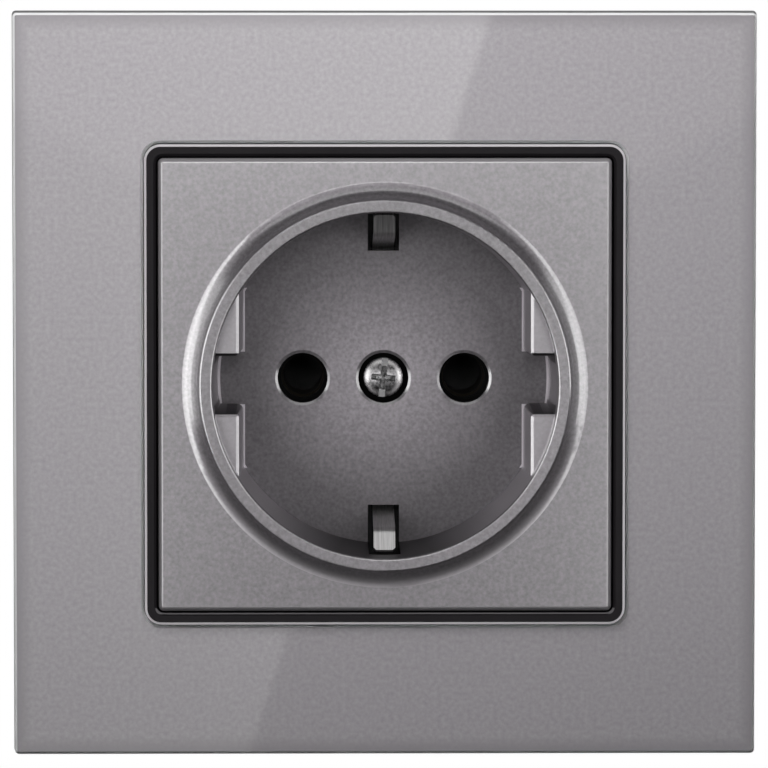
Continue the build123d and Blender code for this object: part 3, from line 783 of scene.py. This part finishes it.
# Painted highlights: a bright outer bevel and, at the bottom only, a grey inner bevel line.
outer_bevel_highlight = both(black, beyond(black, outward, BEZEL_CORNER - BEZEL_BEVEL), in_front)
inner_limit = BEZEL_CORNER - BEZEL_FACE + BEZEL_BEVEL / 2
lower_inner_bevel_highlight = both(black, within(black, outward, inner_limit), in_front, within(black, z, -straight))
tone = bezel_shader.inputs["Base Color"].links[0].from_socket
tone = blend(black, lower_inner_bevel_highlight, tone, INNER_HIGHLIGHT_LINE)
join(black, blend(black, outer_bevel_highlight, tone, OUTER_HIGHLIGHT_LINE), bezel_shader.inputs["Base Color"])
print("bezel bevels at", bezel_high.x / MM)

# %% [markdown]
# ### Earth strap
# The strap is nickel-plated spring strip. Rolling and brushing leave fine lines along it, from finger to
# finger, so the noise is stretched in Y and Z and varies only across the strip's width.

# %% Brushed nickel
LINE_WIDTH = 0.12 * MM
ALONG_STRIP = (1, 0.03, 0.03)
NICKEL_DARK = (0.48, 0.47, 0.47)
NICKEL_LIGHT = (0.86, 0.85, 0.85)
nickel, nickel_shader = start_finish("brushed_nickel", (0.66, 0.65, 0.64), 0.88, 0.36)
lines = grain(nickel, LINE_WIDTH, 3.0, ALONG_STRIP)
join(nickel, blend(nickel, lines, NICKEL_DARK, NICKEL_LIGHT), nickel_shader.inputs["Base Color"])
join(nickel, spread(nickel, lines, 0.28, 0.48), nickel_shader.inputs["Roughness"])
relief(nickel, nickel_shader, lines, 0.006 * MM)
wear(nickel, ["earth_strap"])

# %% [markdown]
# ### Screws and rivets
# The centre screw is bright nickel with a domed head. Its slot and cross are painted dark below the dome,
# partly as dirt and partly as painted shade. The ends of the slot and two spots in the cross are painted
# light as painted glints, and the rounded edge of the head is painted lighter as a painted highlight. How
# deep a point lies below the dome tells the recess from the head.

# %% Places on the screw
HEAD_FRONT = 5.4 * MM
DOME_RADIUS = 5.08 * MM
RECESS_DEPTH = 0.12 * MM
CROSS_REACH = 1.45 * MM
SLOT_TURN = math.radians(5.5)
GLINT_OFFSET = 0.5 * MM
GLINT_RADIUS = 0.25 * MM
GLINT_SQUASH = 1.6
RING_START = 1.75 * MM
RING_END = 2.15 * MM
screw_finish, screw_shader = start_finish("bright_nickel", (0.72, 0.71, 0.7), 1, 0.2)
x, y, z = axes(screw_finish)
radius = distance(screw_finish, x, z)
square = compute(screw_finish, "MULTIPLY", radius, radius)
sag = compute(screw_finish, "DIVIDE", square, 2 * DOME_RADIUS)
depth = compute(screw_finish, "SUBTRACT", compute(screw_finish, "SUBTRACT", y, HEAD_FRONT), sag)
in_recess = beyond(screw_finish, depth, RECESS_DEPTH, 0.06 * MM)
# Painted glints: the ends of the slot and two spots in the cross.
slot_end = both(screw_finish, in_recess, beyond(screw_finish, radius, CROSS_REACH, 0.05 * MM))
turned_x = compute(screw_finish, "MULTIPLY", x, math.cos(SLOT_TURN))
turned_z = compute(screw_finish, "MULTIPLY", z, math.sin(SLOT_TURN))
across = compute(screw_finish, "ABSOLUTE", compute(screw_finish, "SUBTRACT", turned_x, turned_z))
from_glint = distance(
    screw_finish,
    compute(screw_finish, "SUBTRACT", across, GLINT_OFFSET),
    compute(screw_finish, "MULTIPLY", z, GLINT_SQUASH),
)
glint = both(screw_finish, within(screw_finish, from_glint, GLINT_RADIUS, 0.12 * MM), in_recess)
painted_glints = either(screw_finish, slot_end, glint)
# Painted highlight: a lighter ring on the head's rounded edge.
edge_highlight_ring = both(
    screw_finish,
    beyond(screw_finish, radius, RING_START, 0.15 * MM),
    within(screw_finish, radius, RING_END, 0.1 * MM),
)
print("recess, glints and edge of the screw marked")

# %% Bright screw
HEAD_DARK = (0.07, 0.068, 0.07)
HEAD_LIGHT = (0.4, 0.39, 0.4)
RING_HIGHLIGHT_TONE = (0.75, 0.74, 0.74)
RECESS_DARK = (0.03, 0.03, 0.03)
RECESS_LIGHT = (0.2, 0.197, 0.2)
GLINT_TONE = (0.95, 0.94, 0.95)
scuffs = grain(screw_finish, 0.35 * MM, 4.0)
plating = blend(screw_finish, scuffs, HEAD_DARK, HEAD_LIGHT)
plating = blend(screw_finish, edge_highlight_ring, plating, RING_HIGHLIGHT_TONE)
# Below the dome the plating is painted dark, partly as dirt and partly as painted shade.
recess = blend(screw_finish, scuffs, RECESS_DARK, RECESS_LIGHT)
plating = blend(screw_finish, in_recess, plating, recess)
join(screw_finish, blend(screw_finish, painted_glints, plating, GLINT_TONE), screw_shader.inputs["Base Color"])
join(screw_finish, spread(screw_finish, painted_glints, 1, 0), screw_shader.inputs["Metallic"])
join(screw_finish, spread(screw_finish, scuffs, 0.2, 0.36), screw_shader.inputs["Roughness"])
wear(screw_finish, ["cover_screw"])

# %% [markdown]
# The other screws and the rivets are duller plated steel. A fine mottle in tone and gloss is enough for
# them, since they are small and mostly hidden.

# %% Plated steel
STEEL_DARK = (0.56, 0.55, 0.53)
STEEL_LIGHT = (0.72, 0.71, 0.69)
steel, steel_shader = start_finish("plated_steel_finish", (0.66, 0.65, 0.63), 1, 0.32)
mottle = grain(steel, 0.5 * MM, 4.0)
join(steel, blend(steel, mottle, STEEL_DARK, STEEL_LIGHT), steel_shader.inputs["Base Color"])
join(steel, spread(steel, mottle, 0.26, 0.42), steel_shader.inputs["Roughness"])
wear(
    steel,
    ["plate_rivets", "rear_cover_screws", "clamp_screw_left", "clamp_screw_right", "clamp_screw_earth"],
)

# %% [markdown]
# ### Sheet metal
# Zinc crystals on galvanised sheet show as flat patches of slightly different grey. Noise would blur them, so
# the support plate and the clamps use Voronoi cells.

# %% Galvanised sheet
CRYSTAL = 2.5 * MM
CRYSTAL_SHARE = 0.7
ZINC_DARK = (0.5, 0.505, 0.51)
ZINC_LIGHT = (0.68, 0.685, 0.69)
zinc, zinc_shader = start_finish("galvanised_sheet", (0.6, 0.6, 0.6), 1, 0.42)
place = add_node(zinc, "ShaderNodeTexCoord")
cells = add_node(zinc, "ShaderNodeTexVoronoi", {"Scale": 1 / CRYSTAL})
join(zinc, place.outputs["Object"], cells.inputs["Vector"])
patch = add_node(zinc, "ShaderNodeSeparateColor")
join(zinc, cells.outputs["Color"], patch.inputs["Color"])
rub = grain(zinc, 0.3 * MM, 3.0)
crystals = compute(zinc, "MULTIPLY", patch.outputs["Red"], CRYSTAL_SHARE)
tone = compute(zinc, "ADD", crystals, compute(zinc, "MULTIPLY", rub, 1 - CRYSTAL_SHARE))
join(zinc, blend(zinc, tone, ZINC_DARK, ZINC_LIGHT), zinc_shader.inputs["Base Color"])
join(zinc, spread(zinc, tone, 0.5, 0.34), zinc_shader.inputs["Roughness"])
wear(zinc, ["support_plate", "clamp_left", "clamp_right", "clamp_earth"])

# %% [markdown]
# The contacts and the insert are rolled brass with a little tarnish. New brass would be bright inside too,
# but the pin holes look black, so the bores of the contacts are painted dark and matt as painted shade.

# %% Rolled brass
SLEEVE_INSIDE = 2.6 * MM
BRASS_DARK = (0.62, 0.45, 0.19)
BRASS_LIGHT = (0.76, 0.59, 0.28)
BORE_SHADE_TONE = (0.03, 0.022, 0.012)
brass, brass_shader = start_finish("rolled_brass", (0.72, 0.55, 0.25), 1, 0.3)
x, y, z = axes(brass)
beside_pin = compute(brass, "SUBTRACT", compute(brass, "ABSOLUTE", x), PIN_OFFSET)
# Painted shade: the bores of the contacts are dark and matt.
bore_painted_shade = within(brass, distance(brass, beside_pin, z), SLEEVE_INSIDE, 0.05 * MM)
tarnish = grain(brass, 1.5 * MM, 4.0)
rolled = blend(brass, tarnish, BRASS_DARK, BRASS_LIGHT)
join(brass, blend(brass, bore_painted_shade, rolled, BORE_SHADE_TONE), brass_shader.inputs["Base Color"])
join(brass, either(brass, spread(brass, tarnish, 0.4, 0.24), bore_painted_shade), brass_shader.inputs["Roughness"])
join(brass, spread(brass, bore_painted_shade, 1, 0), brass_shader.inputs["Metallic"])
wear(brass, ["contact_left", "contact_right", "screw_insert"])

# %% [markdown]
# ### Bonding tape
# The tape behind the glass is a dark closed-cell foam, so its cut edges show fine open cells.

# %% Foam tape
FOAM_DARK = (0.03, 0.03, 0.03)
FOAM_LIGHT = (0.09, 0.09, 0.09)
foam, foam_shader = start_finish("foam_tape", (0.05, 0.05, 0.05), 0, 0.9)
pores = grain(foam, 0.15 * MM, 2.0)
join(foam, blend(foam, pores, FOAM_DARK, FOAM_LIGHT), foam_shader.inputs["Base Color"])
relief(foam, foam_shader, pores, 0.03 * MM)
wear(foam, ["glass_adhesive"])
